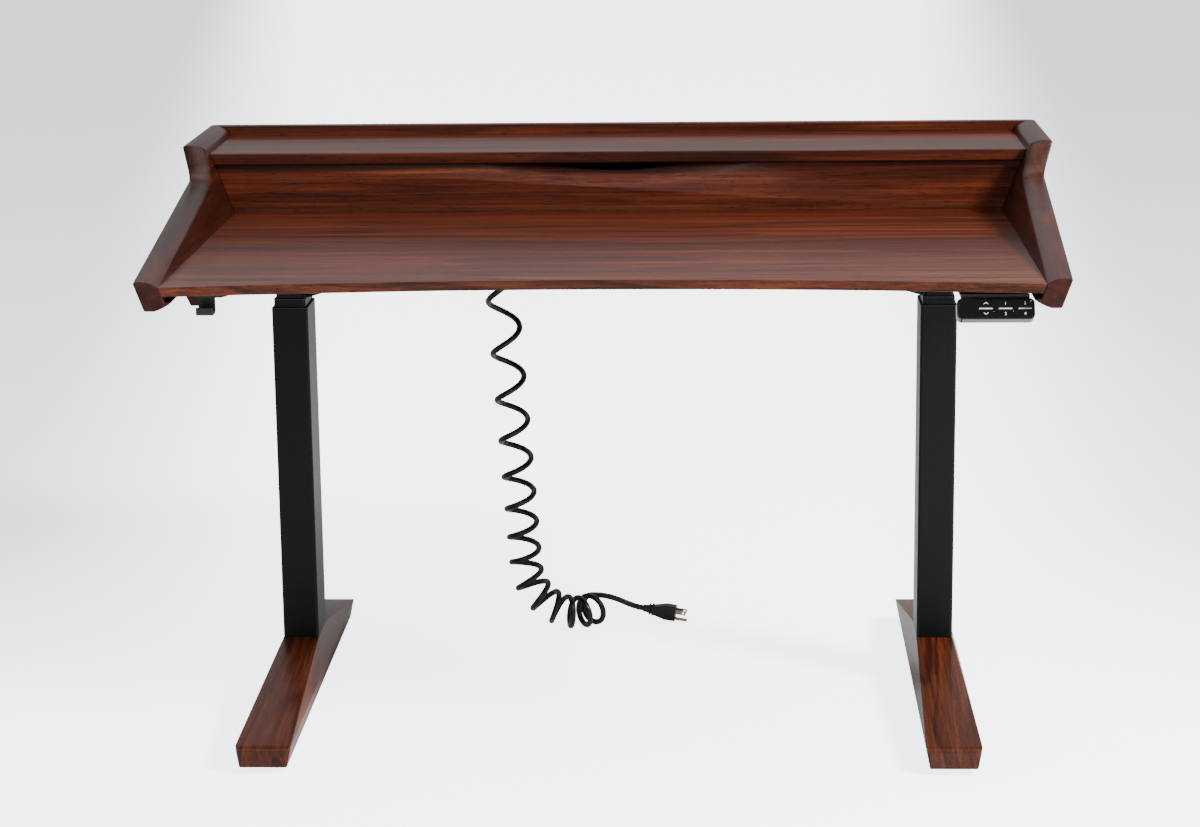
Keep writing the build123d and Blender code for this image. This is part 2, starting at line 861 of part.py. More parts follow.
def brace():
    """Folded plate from the inner tube up to the underside of the crossbars."""
    tube_x = -column_x + inner_tube_width / 2
    low = mid_tube_top + collar_rim + brace_foot_rise
    bar = head_top - crossbar_height
    t = brace_thickness
    points = [
        (tube_x, low),
        (tube_x, low + brace_tab),
        (tube_x + t, low + brace_tab),
        (tube_x + t, low + t),
        (tube_x + brace_reach, bar),
        (tube_x + brace_reach + brace_flat, bar),
        (tube_x + brace_reach + brace_flat, bar - t),
        (tube_x + brace_reach, bar - t),
        (tube_x + t, low),
    ]
    half = brace_width / 2 + crossbar_offset / 2
    return along_y(outline_xz(points), column_setback - half, column_setback + half)


for (side, _), placed in zip(sides, both_inward(leg_head())):
    save(f"leg_head_{side}", placed)
save("gearboxes", Compound(both_inward(gearbox())))
save("motors", Compound(both_inward(motor())))
for (side, _), placed in zip(sides, at_columns(side_bracket())):
    save(f"side_bracket_{side}", placed)
save("crossbar_front", crossbar(-1))
save("crossbar_back", crossbar(1))
left_brace = brace()
save("braces", Compound([left_brace, mirror(left_brace, about=Plane.YZ)]))
screws = [Pos(0, y, 0) * wood_screw() for y in bracket_screw_ys()]
screws = [piece for screw in screws for piece in at_columns(screw)]
save("wood_screws", Compound(screws))
top_board = worktop()
for screw in screws:
    top_board -= screw
save("worktop", top_board)


# Power cord
coil_rise = math.cos(coil_lean) * (math.exp(-coil_first_turn / coil_decay_turns) - 1)
coil_start_z = worktop_bottom - control_height - coil_start_drop
coil_top_z = coil_start_z / (1 + coil_spread_share * coil_rise)
coil_spread = coil_top_z * coil_spread_share


def ramp(share):
    """Smooth rise from zero to one."""
    share = min(max(share, 0), 1)
    return share * share * (3 - 2 * share)


def axis_run(turn):
    """Length of the coil's axis down to a turn: the upper turns hang open."""
    return coil_spread * (1 - math.exp(-turn / coil_decay_turns))


straight_run = (coil_top_z - coil_radius - cord_diameter / 2 - coil_bend * (1 - math.sin(coil_lean)))
straight_run /= math.cos(coil_lean)
last_run = axis_run(coil_last_turn)


def axis_heading(run):
    """Direction of the coil's axis: down, then bent forward along the floor and yawed."""
    dip = coil_lean + min(max((run - straight_run) / coil_bend, 0), math.pi / 2 - coil_lean)
    yaw = coil_yaw * max((run - straight_run) / (last_run - straight_run), 0) ** coil_yaw_power
    level = Vector(math.cos(yaw), math.sin(yaw), 0)
    across = Vector(-math.sin(yaw), math.cos(yaw), 0)
    down = Vector(0, 0, -1)
    heading = level * math.sin(dip) + down * math.cos(dip)
    outward = down * math.sin(dip) - level * math.cos(dip)
    return heading, outward, across


def coil_points():
    """Centreline of the curly part, sampled evenly in angle."""
    count = round((coil_last_turn - coil_first_turn) * coil_sample_turns)
    first_run = axis_run(coil_first_turn)
    lean = axis_heading(0)[0]
    centre = Vector(coil_top_x, coil_y, coil_top_z) + lean * first_run
    run = first_run
    points = []
    for step in range(count + 1):
        turn = coil_first_turn + step / coil_sample_turns
        next_run = axis_run(turn)
        heading = axis_heading((run + next_run) / 2)[0]
        centre += heading * (next_run - run)
        run = next_run
        outward, across = axis_heading(run)[1:]
        radius = coil_radius * ramp((turn - coil_first_turn) / (coil_full_turn - coil_first_turn))
        angle = 2 * math.pi * turn
        points.append(centre + (outward * math.cos(angle) + across * math.sin(angle)) * radius)
    return points


def biarc(p0, t0, p1, t1):
    """Two tangent arcs from one point and direction to the next."""
    t0, t1, v = t0.normalized(), t1.normalized(), p1 - p0
    t = t0 + t1
    spread = 2 * (1 - t0.dot(t1))
    vt = v.dot(t)
    if spread > least_spread:
        d = (-vt + math.sqrt(vt * vt + spread * v.dot(v))) / spread
    else:
        d = v.dot(v) / (2 * vt)
    joint = (p0 + p1 + (t0 - t1) * d) / 2
    first = Edge.make_tangent_arc(p0, t0, joint)
    second = Edge.make_tangent_arc(joint, first % 1, p1)
    return [first, second]


def cord_path():
    """Straight lead, helix of quarter-turn biarcs, then the tail down to the plug."""
    points = coil_points()
    stride = coil_sample_turns // arcs_per_turn
    marks = list(range(0, len(points), stride))
    if marks[-1] != len(points) - 1:
        marks.append(len(points) - 1)
    tangents = []
    for mark in marks:
        before, after = max(mark - 1, 0), min(mark + 1, len(points) - 1)
        tangents.append((points[after] - points[before]).normalized())
    down = Vector(0, 0, -1)
    tangents[0] = down
    lead_start = points[0] - down * cord_diameter
    edges = [Edge.make_line(lead_start, points[0])]
    for (m0, t0), (m1, t1) in zip(zip(marks, tangents), zip(marks[1:], tangents[1:])):
        edges += biarc(points[m0], t0, points[m1], t1)
    plug_dir = plug_heading.normalized()
    tail_end = plug_start - plug_dir * cord_diameter
    edges += biarc(points[-1], tangents[-1], tail_rise, tail_rise_heading)
    edges += biarc(tail_rise, tail_rise_heading, tail_end, plug_dir)
    edges.append(Edge.make_line(tail_end, plug_start))
    return edges, lead_start


def closest_turns(edges):
    """Least gap of the cord to itself, measured on points along its path."""
    samples, run = [], 0
    for edge in edges:
        steps = max(2, round(edge.length / cord_diameter * 2))
        for k in range(steps):
            samples.append((run + edge.length * k / steps, edge @ (k / steps)))
        run += edge.length
    reach = math.pi * cord_diameter
    gaps = [
        (p - q).length
        for i, (a, p) in enumerate(samples)
        for b, q in samples[i + 1 :]
        if b - a > reach
    ]
    return min(gaps) - cord_diameter, run


cord_edges, cord_top = cord_path()
least_gap, cord_length = closest_turns(cord_edges)
tightest = min(edge.radius for edge in cord_edges if edge.geom_type == GeomType.CIRCLE)
print(f"cord: length {cord_length:.0f}, least gap to itself {least_gap:.2f}, tightest radius {tightest:.1f}")
profile = Plane(origin=cord_top, z_dir=(0, 0, -1)) * Circle(cord_diameter / 2)
cord = sweep(profile, path=Wire(cord_edges))
print(f"cord: volume {cord.volume:.0f}, section times length {profile.area * cord_length:.0f}")
save("power_cord", cord)


# Control box and gland
def control_box():
    """Rounded box under the worktop, behind the crossbars."""
    width, depth = control_right - control_left, control_back - control_front
    low = worktop_bottom - control_height
    body = round_box(width, depth, control_corner, low, worktop_bottom)
    lower = body.edges().group_by(Axis.Z)[0]
    body = fillet(lower, control_corner / 2)
    return Pos((control_left + control_right) / 2, (control_front + control_back) / 2, 0) * body


def gland():
    """Strain relief: a flange, a tapering sleeve and the ribs around it."""
    top = worktop_bottom - control_height
    low = cord_top.Z + running_gap
    length = top - gland_flange - low
    sleeve = Cone(gland_end_radius, gland_radius, length)
    body = Pos(0, 0, low + length / 2) * sleeve + rod(gland_flange_radius, top - gland_flange, top)
    pitch = length / (gland_rib_count + 1)
    for k in range(gland_rib_count):
        z = low + pitch * (k + 1)
        taper = gland_end_radius + (gland_radius - gland_end_radius) * (k + 1) / (gland_rib_count + 1)
        body += rod(taper + gland_rib, z - pitch / 4, z + pitch / 4)
    return Pos(cord_top.X, cord_top.Y, 0) * body


save("control_box", control_box())
save("cord_gland", gland())


# Plug
def plug_frame():
    """Axes of the plug: z along its axis, x level across the blades."""
    axis = plug_heading.normalized()
    across = Vector(0, 0, 1).cross(axis).normalized()
    return Plane(origin=plug_start, x_dir=across, z_dir=axis)


def plug_body():
    """Moulded plug: relief, flange and a waisted grip that widens to its nose."""
    relief = Pos(0, 0, plug_relief_length / 2) * Cylinder(plug_relief_radius, plug_relief_length)
    flange_z = plug_relief_length + plug_flange / 2
    flange = Pos(0, 0, flange_z) * Cylinder(plug_flange_radius, plug_flange)
    flange = fillet(flange.edges(), plug_flange / 4)
    start = plug_relief_length + plug_flange
    sections = []
    for z, half in (
        (start, plug_neck_half),
        (start + plug_nose_start, plug_nose_half),
        (start + plug_body_length, plug_nose_half),
    ):
        outline = RectangleRounded(2 * plug_side_half, 2 * half, plug_neck_half / 2)
        sections.append(Pos(0, 0, z) * outline)
    return relief + flange + loft(sections, ruled=True)


def plug_pins():
    """Two flat blades side by side and the round earth pin below them."""
    face = plug_relief_length + plug_flange + plug_body_length
    pins = []
    for sign in (-1, 1):
        x = (sign * blade_spacing / 2 - blade_thickness / 2, sign * blade_spacing / 2 + blade_thickness / 2)
        y = (blade_rise - blade_width / 2, blade_rise + blade_width / 2)
        blade = block(x, y, (face - blade_seat, face + blade_length))
        hole = Rot(0, 90, 0) * rod(blade_hole_radius, -blade_spacing, blade_spacing)
        pins.append(blade - Pos(0, blade_rise, face + blade_length - blade_hole_inset) * hole)
    pin = rod(ground_radius, face - blade_seat, face + blade_length + ground_radius)
    pin = fillet(pin.edges().group_by(Axis.Z)[-1], ground_radius / 2)
    pins.append(Pos(0, blade_rise - ground_offset, 0) * pin)
    return pins


pins = plug_pins()
grip = plug_body()
for pin in pins:
    grip -= pin
frame = plug_frame().location
save("plug_body", frame * grip)
save("plug_pins", Compound([frame * pin for pin in pins]))


# Hand controller
def handset_frame():
    """Axes of the controller's face: x along it, y up it, z out of it."""
    outward = (0, -math.cos(handset_tilt), math.sin(handset_tilt))
    return Plane(origin=(handset_x, handset_face_y, handset_face_z), x_dir=(1, 0, 0), z_dir=outward)


def key_places():
    """Name and centre of each key on the face."""
    names = (("up", "down"), ("1", "2"), ("3", "4"))
    places = []
    for column, pair in enumerate(names):
        x = key_first_x + column * key_pitch
        for name, row in zip(pair, (1, -1)):
            places.append((f"key_{name}", x, row * key_row_offset))
    return places


def key(extra):
    """One key about its own centre; extra widens it to the well that holds it."""
    low = key_proud - key_thickness - (key_travel + key_gap if extra else 0)
    high = key_proud if not extra else overrun
    outline = RectangleRounded(key_width + 2 * extra, key_height + 2 * extra, key_corner)
    body = Pos(0, 0, low) * extrude(outline, high - low)
    return body if extra else fillet(body.edges().group_by(Axis.Z)[-1], key_proud / 2)


def handset_housing():
    """Sloping housing with its key wells and the seats of the bars and the window."""
    outline = RectangleRounded(handset_width, handset_height, handset_corner)
    body = Pos(0, 0, -handset_depth) * extrude(outline, handset_depth)
    body = fillet(body.edges().group_by(Axis.Z)[-1], edge_softening)
    for _, x, y in key_places():
        body -= Pos(x, y, 0) * key(key_gap)
    for bar in key_bars():
        body -= bar
    return body - window()


def key_bars():
    """Light bars between the upper and the lower keys."""
    bar = Pos(0, 0, -bar_thickness / 2) * Box(bar_width, bar_height, bar_thickness)
    return [Pos(key_first_x + column * key_pitch, 0, 0) * bar for column in range(3)]


def window():
    """Flush window over the display."""
    return Pos(window_x, 0, -window_thickness / 2) * Box(window_width, window_height, window_thickness)


def handset_bracket():
    """Wedge and tab that carry the controller under the bevelled front edge."""
    up = Vector(0, math.sin(handset_tilt), math.cos(handset_tilt))
    inward = Vector(0, math.cos(handset_tilt), -math.sin(handset_tilt))
    top_front = Vector(0, handset_face_y, handset_face_z) + up * (handset_height / 2)
    seat = top_front + inward * (handset_depth / 4)
    heel = top_front + inward * handset_depth
    tab = worktop_bottom - handset_tab_thickness
    back = seat.Y + handset_tab_back
    shoulder = front_y + front_bevel_depth
    points = [
        (seat.Y, seat.Z),
        (heel.Y, heel.Z),
        (heel.Y, tab),
        (back, tab),
        (back, worktop_bottom),
        (shoulder, worktop_bottom),
        (seat.Y, worktop_bottom + handset_tab_rise),
    ]
    half = handset_tab_width / 2
    return along_x(outline_yz(points), handset_x - half, handset_x + half)


face = handset_frame().location
save("handset_housing", face * handset_housing())
save("handset_window", face * window())
save("key_bars", Compound([face * bar for bar in key_bars()]))
save("handset_bracket", handset_bracket())
for node, x, y in key_places():
    save(node, face * Pos(x, y, 0) * key(0))
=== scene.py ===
import json
import math

import bmesh
import bpy
from mathutils import Matrix, Vector

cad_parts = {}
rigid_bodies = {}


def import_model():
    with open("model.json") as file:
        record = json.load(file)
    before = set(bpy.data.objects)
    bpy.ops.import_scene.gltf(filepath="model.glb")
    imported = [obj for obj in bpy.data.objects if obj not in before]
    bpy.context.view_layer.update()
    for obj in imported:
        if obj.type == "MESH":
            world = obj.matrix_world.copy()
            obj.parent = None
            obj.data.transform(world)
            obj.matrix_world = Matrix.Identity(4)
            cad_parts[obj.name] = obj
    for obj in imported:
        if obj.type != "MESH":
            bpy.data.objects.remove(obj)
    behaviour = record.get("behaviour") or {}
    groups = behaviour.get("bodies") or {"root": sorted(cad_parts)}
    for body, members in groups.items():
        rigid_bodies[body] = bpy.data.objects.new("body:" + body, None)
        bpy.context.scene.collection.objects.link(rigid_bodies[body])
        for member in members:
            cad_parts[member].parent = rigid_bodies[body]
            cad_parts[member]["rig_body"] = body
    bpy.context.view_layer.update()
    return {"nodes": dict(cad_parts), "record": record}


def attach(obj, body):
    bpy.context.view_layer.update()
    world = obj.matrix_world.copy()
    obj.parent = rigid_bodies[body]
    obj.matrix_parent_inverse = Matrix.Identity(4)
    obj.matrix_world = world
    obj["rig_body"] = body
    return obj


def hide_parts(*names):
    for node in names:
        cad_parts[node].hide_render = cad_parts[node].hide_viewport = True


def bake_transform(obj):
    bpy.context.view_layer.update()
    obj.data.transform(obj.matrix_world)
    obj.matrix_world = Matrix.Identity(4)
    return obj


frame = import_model()

# Sizes are in metres, angles in radians
MM = 0.001

# Camera: it looks down on the desk from a little right of the middle
CAMERA_PLACE = Vector((0.14896, -3.9249, 1.29545))
CAMERA_YAW = 0.042654
CAMERA_PITCH = -0.224483
CAMERA_ROLL = 0.0120355
CAMERA_LENS = 87.58
CAMERA_SENSOR = 36.0

# Power cord: the same helix and tail as the solid
CORD_DIAMETER = 8.6 * MM
COIL_RADIUS = 21.3 * MM
COIL_TOP = Vector((-171, 277, 504.5)) * MM
COIL_LEAN = math.radians(3.9)
COIL_BEND = 85.5 * MM
COIL_YAW = math.radians(62)
COIL_YAW_POWER = 3
COIL_SPREAD = 706.3 * MM
COIL_DECAY_TURNS = 8.5
COIL_FIRST_TURN = -0.75
COIL_FULL_TURN = -0.25
COIL_LAST_TURN = 13.26
COIL_POINTS_PER_TURN = 16
TAIL_POINTS = (
    (-59.5, 325.5, 36), (-53, 328.5, 41.3), (-42, 331.3, 40.6), (-24, 332.4, 38.3), (-6, 333.2, 32), (10, 334, 24.3),
)
TAIL = [Vector(point) * MM for point in TAIL_POINTS]
PLUG_START = Vector((33.2, 333, 18.6)) * MM
PLUG_HEADING = Vector((62, -9, -7.5)).normalized()

# Hand controller: its face stands under the front edge, tilted back
FACE_PLACE = Vector((486, -387.5, 618)) * MM
FACE_TILT = math.radians(26.6)
KEY_FIRST_X = -12.4 * MM
KEY_PITCH = 24 * MM
KEY_ROW = 6.6 * MM
KEY_PROUD = 0.8 * MM

MERGE = 0.005 * MM
FLAT = math.radians(0.5)
CREASE = math.radians(28)
EASE_SEGMENTS = 3


# Colours and nodes
def colour(code):
    """Linear colour of an sRGB hex code."""
    parts = [int(code[k : k + 2], 16) / 255 for k in (1, 3, 5)]
    return [p / 12.92 if p <= 0.04045 else ((p + 0.055) / 1.055) ** 2.4 for p in parts] + [1.0]


def add(tree, kind, settings=None, links=None):
    """Adds a node: settings are its properties or its sockets' values, links feed its sockets."""
    node = tree.nodes.new(kind)
    for name, value in (settings or {}).items():
        if isinstance(name, str) and hasattr(node, name):
            setattr(node, name, value)
        else:
            node.inputs[name].default_value = value
    for name, socket in (links or {}).items():
        tree.links.new(socket, node.inputs[name])
    return node


def ramp(tree, factor, stops):
    """Colour ramp with its stops, each a place and an sRGB hex code."""
    node = add(tree, "ShaderNodeValToRGB", links={0: factor})
    elements = node.color_ramp.elements
    while len(elements) < len(stops):
        elements.new(0.5)
    for element, (place, code) in zip(elements, stops):
        element.position = place
        element.color = colour(code)
    return node.outputs[0]


def material(name):
    """Empty node material: its tree and its Principled shader."""
    made = bpy.data.materials.new(name)
    made.use_nodes = True
    tree = made.node_tree
    return made, tree, tree.nodes["Principled BSDF"]


# Walnut
# Solid boards, edge-glued, sanded and oiled: reddish brown with dark figure lines, and a satin sheen
WOOD_TONES = ((0.0, "#1b0a04"), (0.35, "#321408"), (0.6, "#4a2110"), (0.85, "#61331d"), (1.0, "#78482e"))
BOARD_TINTS = ((0.0, "#ffe2cd"), (0.35, "#e2c3bb"), (0.6, "#fff6ee"), (0.8, "#cdb6ae"), (1.0, "#ffd3b6"))
LINE_TONES = ((0.0, "#303030"), (0.08, "#f0f0f0"), (0.78, "#c0c0c0"), (0.95, "#000000"), (1.0, "#303030"))
PORE_TINT = "#7d6152"
PORE_LIMITS = (0.60, 0.72)
WOOD_ROUGHNESS = (0.28, 0.40)
WOOD_SHEEN = 0.24
WOOD_RELIEF = 0.15 * MM
# How far the pattern jumps from one board to the next
BOARD_JUMP = (5, 5, 5)
# Each pattern: how many times longer than wide, its width across the grain, and its detail
FIGURE = (13, 105 * MM, 1.5)
STREAK = (26, 15 * MM, 2.0)
FIBRE = (70, 2.2 * MM, 3.0)
PORE = (16, 1.0 * MM, 1.0)
# Weights of fibre, streak and figure in the tone, and its base
FIBRE_SHARE, STREAK_SHARE, FIGURE_SHARE, TONE_BASE = 0.85, 0.9, 0.5, -0.72


def stretched(tree, place, stretch, size, detail, distortion=0.0):
    """Noise drawn out along X: size is its width across the grain."""
    drawn = add(tree, "ShaderNodeMapping", {"Scale": (1 / stretch, 1, 1)}, {"Vector": place}).outputs[0]
    return add(
        tree, "ShaderNodeTexNoise",
        {"Scale": 1 / size, "Detail": detail, "Roughness": 0.55, "Distortion": distortion}, {"Vector": drawn},
    ).outputs[0]


def weighted(tree, terms, base):
    """Sum of sockets, each times its weight, and a base value."""
    total = None
    for socket, weight in terms:
        node = add(tree, "ShaderNodeMath", {"operation": "MULTIPLY_ADD", 1: weight, 2: base}, {0: socket})
        if total:
            tree.links.new(total, node.inputs[2])
        total = node.outputs[0]
    return total


def multiplied(tree, first, second, factor=None):
    """Product of a colour and a second one, which is a socket or a hex code, by a factor where there is one."""
    node = add(tree, "ShaderNodeMix", {"data_type": "RGBA", "blend_type": "MULTIPLY"}, {6: first})
    node.inputs["Factor"].default_value = 1.0
    if isinstance(second, str):
        node.inputs[7].default_value = colour(second)
    else:
        tree.links.new(second, node.inputs[7])
    if factor:
        tree.links.new(factor, node.inputs["Factor"])
    return node.outputs[2]


def walnut(
    name, turn=(0, 0, 0), stave=90 * MM, shift=(0, 0, 0), wild=0.3, rings=9, lines=0.18, tone_shift="#ffffff", rise=1.0
):
    """Walnut with its grain along X after the turn.

    A stave is the width of one glued board. Wild is how far the figure wanders, rings how many lines it has
    and lines how dark they are. Rise is how fast the pattern changes with height.
    """
    made, tree, shader = material(name)
    place = add(tree, "ShaderNodeTexCoord").outputs["Object"]
    turned = add(
        tree, "ShaderNodeMapping", {"Rotation": turn, "Location": shift, "Scale": (1, 1, rise)}, {"Vector": place}
    ).outputs[0]
    across = add(tree, "ShaderNodeSeparateXYZ", links={0: turned}).outputs["Y"]
    across = add(tree, "ShaderNodeMath", {"operation": "MULTIPLY", 1: 1 / stave}, {0: across}).outputs[0]
    board = add(tree, "ShaderNodeMath", {"operation": "FLOOR"}, {0: across}).outputs[0]
    chance = add(tree, "ShaderNodeTexWhiteNoise", {"noise_dimensions": "1D"}, {"W": board})
    moved = add(
        tree, "ShaderNodeVectorMath", {"operation": "MULTIPLY_ADD", 1: BOARD_JUMP},
        {0: chance.outputs["Color"], 2: turned},
    ).outputs[0]
    figure = stretched(tree, moved, *FIGURE, wild)
    waves = add(tree, "ShaderNodeMath", {"operation": "MULTIPLY", 1: rings}, {0: figure}).outputs[0]
    waves = add(tree, "ShaderNodeMath", {"operation": "FRACT"}, {0: waves}).outputs[0]
    line = ramp(tree, waves, LINE_TONES)
    fibre = stretched(tree, moved, *FIBRE)
    streak = stretched(tree, moved, *STREAK, wild)
    low, high = PORE_LIMITS
    pore = stretched(tree, moved, *PORE)
    pore = add(tree, "ShaderNodeMapRange", {"From Min": low, "From Max": high}, {"Value": pore}).outputs[0]
    parts = ((line, lines), (fibre, FIBRE_SHARE), (streak, STREAK_SHARE), (figure, FIGURE_SHARE))
    tone = ramp(tree, weighted(tree, parts, TONE_BASE), WOOD_TONES)
    tint = ramp(tree, chance.outputs["Value"], BOARD_TINTS)
    # The whole pattern is multiplied by one colour here
    tone = multiplied(tree, multiplied(tree, tone, tint), tone_shift)
    tone = multiplied(tree, tone, PORE_TINT, pore)
    tree.links.new(tone, shader.inputs["Base Color"])
    low, high = WOOD_ROUGHNESS
    rough = add(tree, "ShaderNodeMapRange", {"To Min": low, "To Max": high}, {"Value": fibre}).outputs[0]
    tree.links.new(rough, shader.inputs["Roughness"])
    shader.inputs["Specular IOR Level"].default_value = WOOD_SHEEN
    height = weighted(tree, ((pore, -0.8), (fibre, 1.0)), 0.0)
    bump = add(
        tree, "ShaderNodeBump", {"Strength": 0.25, "Distance": WOOD_RELIEF}, {"Height": height}
    ).outputs[0]
    tree.links.new(bump, shader.inputs["Normal"])
    return made


# Painted, plated and moulded finishes
def finish(name, base, roughness, metallic=0.0, grit=0.0, depth=0.0, spread=0.06, ior=1.5):
    """Finish of one colour: grit is the size of its texture, depth how far that stands out."""
    made, tree, shader = material(name)
    shader.inputs["Base Color"].default_value = colour(base)
    shader.inputs["Metallic"].default_value = metallic
    if not metallic:
        shader.inputs["IOR"].default_value = ior
    place = add(tree, "ShaderNodeTexCoord").outputs["Object"]
    grain = add(
        tree, "ShaderNodeTexNoise", {"Scale": 1 / max(grit, MM), "Detail": 3.0}, {"Vector": place}
    ).outputs[0]
    rough = add(
        tree, "ShaderNodeMapRange", {"To Min": roughness - spread, "To Max": roughness + spread},
        {"Value": grain},
    ).outputs[0]
    tree.links.new(rough, shader.inputs["Roughness"])
    if depth:
        bump = add(
            tree, "ShaderNodeBump", {"Strength": 0.5, "Distance": depth}, {"Height": grain}
        ).outputs[0]
        tree.links.new(bump, shader.inputs["Normal"])
    return made


# Polyester powder coat, baked: satin black with a faint orange peel
powder_coat = finish("powder_coat", "#08080a", 0.38, grit=1.6 * MM, depth=0.03 * MM, ior=1.24)
# Zinc plate, bright and slightly cloudy
zinc_plate = finish("zinc_plate", "#c3c5c6", 0.32, metallic=1.0, grit=4 * MM)
# Moulded nylon, fine spark-eroded texture
nylon = finish("moulded_nylon", "#0f0f10", 0.55, grit=0.8 * MM, depth=0.02 * MM)
# Polished ABS mould: a clear black mirror
gloss_abs = finish("gloss_abs", "#030304", 0.08, grit=12 * MM, spread=0.02, ior=1.42)
# Screen-printed light grey ink
ink = finish("screen_ink", "#c4c5c6", 0.5, grit=2 * MM)
# Die-cast aluminium, dull and grainy
cast_aluminium = finish("cast_aluminium", "#9a9b9d", 0.5, metallic=1.0, grit=1.2 * MM, depth=0.04 * MM)
# Soft PVC jacket: black with a broad sheen
cord_pvc = finish("cord_pvc", "#040405", 0.36, grit=3 * MM, ior=1.38)
# Nickel-plated brass, coloured a brownish grey
plated_brass = finish("plated_brass", "#8f7c6c", 0.34, metallic=1.0, grit=3 * MM)

CAD_FINISHES = {
    "walnut": None,
    "powder_coat": powder_coat,
    "zinc_steel": zinc_plate,
    "nylon": nylon,
    "gloss_plastic": gloss_abs,
    "key_print": ink,
    "gear_case": cast_aluminium,
    "cord_jacket": cord_pvc,
    "plated_brass": plated_brass,
}
SLOTS = {row["node"]: row["material_slot"] for row in frame["record"]["subparts"]}
for name, node in frame["nodes"].items():
    made = CAD_FINISHES[SLOTS[name]]
    if made:
        node.data.materials.clear()
        node.data.materials.append(made)


# Pieces fitted over CAD nodes
def new_object(name, bm, made):
    """Object on a finished bmesh, smooth but for its creases."""
    mesh = bpy.data.meshes.new(name)
    bm.to_mesh(mesh)
    bm.free()
    mesh.materials.append(made)
    mesh.shade_smooth()
    mesh.set_sharp_from_angle(angle=CREASE)
    piece = bpy.data.objects.new(name, mesh)
    bpy.context.scene.collection.objects.link(piece)
    return piece


def merged(node):
    """Bmesh of a CAD node with its doubles merged and its flat faces joined."""
    source = frame["nodes"][node].data
    bm = bmesh.new()
    bm.from_mesh(source)
    for layers in (bm.loops.layers.uv, bm.loops.layers.float_vector, bm.loops.layers.color):
        for layer in list(layers.values()):
            layers.remove(layer)
    bmesh.ops.remove_doubles(bm, verts=bm.verts, dist=MERGE)
    bmesh.ops.dissolve_limit(bm, angle_limit=FLAT, verts=bm.verts, edges=bm.edges)
    return bm


def dress(node, made, width):
    """Copy of a CAD node with its edges eased; it stands for the node and rides on its body."""
    piece = new_object(node + "_finished", merged(node), made)
    for face in piece.data.polygons:
        face.material_index = 0
    ease = piece.modifiers.new("ease", "BEVEL")
    ease.width = width
    ease.segments = EASE_SEGMENTS
    ease.limit_method = "ANGLE"
    ease.angle_limit = CREASE
    ease.harden_normals = True
    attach(piece, frame["nodes"][node]["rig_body"])
    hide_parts(node)


QUARTER = math.pi / 2
LEAN = math.radians(20)
UPRIGHT = {"turn": (QUARTER, 0, 0)}
LENGTHWAYS = {"turn": (0, 0, QUARTER), "stave": 300 * MM}
# The feet's walnut is multiplied a touch greyer, the cheeks' darker and greyer
FOOT = {**LENGTHWAYS, "wild": 1.0, "rings": 8, "lines": 0.34, "tone_shift": "#ecefef", "rise": 0.25}
CHEEK = {"stave": 200 * MM, "tone_shift": "#bab0a7"}
# Each wooden piece: the width of its eased edges, and its walnut
WOOD_PIECES = {
    "worktop": (1.2, {"stave": 88 * MM, "shift": (0.3, 0.4, 0), "wild": 0.6, "rings": 10, "lines": 0.3}),
    "upper_shelf": (0.8, {"stave": 75 * MM, "shift": (2.1, 0.02, 0)}),
    "riser_panel": (0.8, {**UPRIGHT, "stave": 60 * MM, "shift": (1.3, 0.0, 0)}),
    "back_panel": (1.5, {**UPRIGHT, "stave": 75 * MM, "shift": (4.4, 0.02, 0)}),
    "cheek_left": (6.5, {**CHEEK, "turn": (0, QUARTER - LEAN, QUARTER), "shift": (0, 0.1, 0.7)}),
    "cheek_right": (6.5, {**CHEEK, "turn": (0, LEAN - QUARTER, QUARTER), "shift": (0, 0.1, 1.9)}),
    "batten_left": (1.0, {**LENGTHWAYS, "shift": (0.9, 0, 0)}),
    "batten_right": (1.0, {**LENGTHWAYS, "shift": (1.7, 0, 0)}),
    "foot_left": (3.0, {**FOOT, "shift": (2.9, 0, 0)}),
    "foot_right": (3.0, {**FOOT, "shift": (9.1, 2.2, 0)}),
}
SHORT_NAMES = {"upper_shelf": "shelf", "riser_panel": "riser"}
for name, (width, settings) in WOOD_PIECES.items():
    dress(name, walnut("walnut_" + SHORT_NAMES.get(name, name), **settings), width * MM)
dress("handset_housing", gloss_abs, 0.5 * MM)
dress("plug_body", cord_pvc, 0.7 * MM)


# Legends printed on the keys
LEGEND_HEIGHT = 3.6 * MM
LEGEND_SIZE = 1.4 * LEGEND_HEIGHT
LEGEND_BOLD = 0.03 * LEGEND_HEIGHT
LEGEND_INK = 0.03 * MM
CHEVRON_HALF = 2.6 * MM
CHEVRON_RISE = 2.0 * MM
CHEVRON_STROKE = 1.0 * MM
LAMP_PLACE = (42.6 * MM, 9.4 * MM)
LAMP_RADIUS = 0.6 * MM
LAMP_SIDES = 16
FACE_RIGHT = Vector((1, 0, 0))
FACE_UP = Vector((0, math.sin(FACE_TILT), math.cos(FACE_TILT)))
FACE_OUT = FACE_RIGHT.cross(FACE_UP)


def on_face(bm, x, y, proud):
    """Moves a flat outline, drawn about its own centre, to its place on the controller's face."""
    turn = Matrix((FACE_RIGHT, FACE_UP, FACE_OUT)).transposed().to_4x4()
    place = FACE_PLACE + FACE_RIGHT * x + FACE_UP * y + FACE_OUT * proud
    bm.transform(Matrix.Translation(place) @ turn)


def inked(name, bm, body):
    """Object of printed ink that rides on a body."""
    piece = new_object(name, bm, ink)
    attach(piece, body)


def prism(outline, depth):
    """Bmesh of an outline pulled to a depth."""
    bm = bmesh.new()
    face = bm.faces.new([bm.verts.new((x, y, 0)) for x, y in outline])
    pulled = bmesh.ops.extrude_face_region(bm, geom=[face])["geom"]
    far = [part for part in pulled if isinstance(part, bmesh.types.BMVert)]
    bmesh.ops.translate(bm, vec=(0, 0, depth), verts=far)
    bmesh.ops.recalc_face_normals(bm, faces=bm.faces)
    return bm


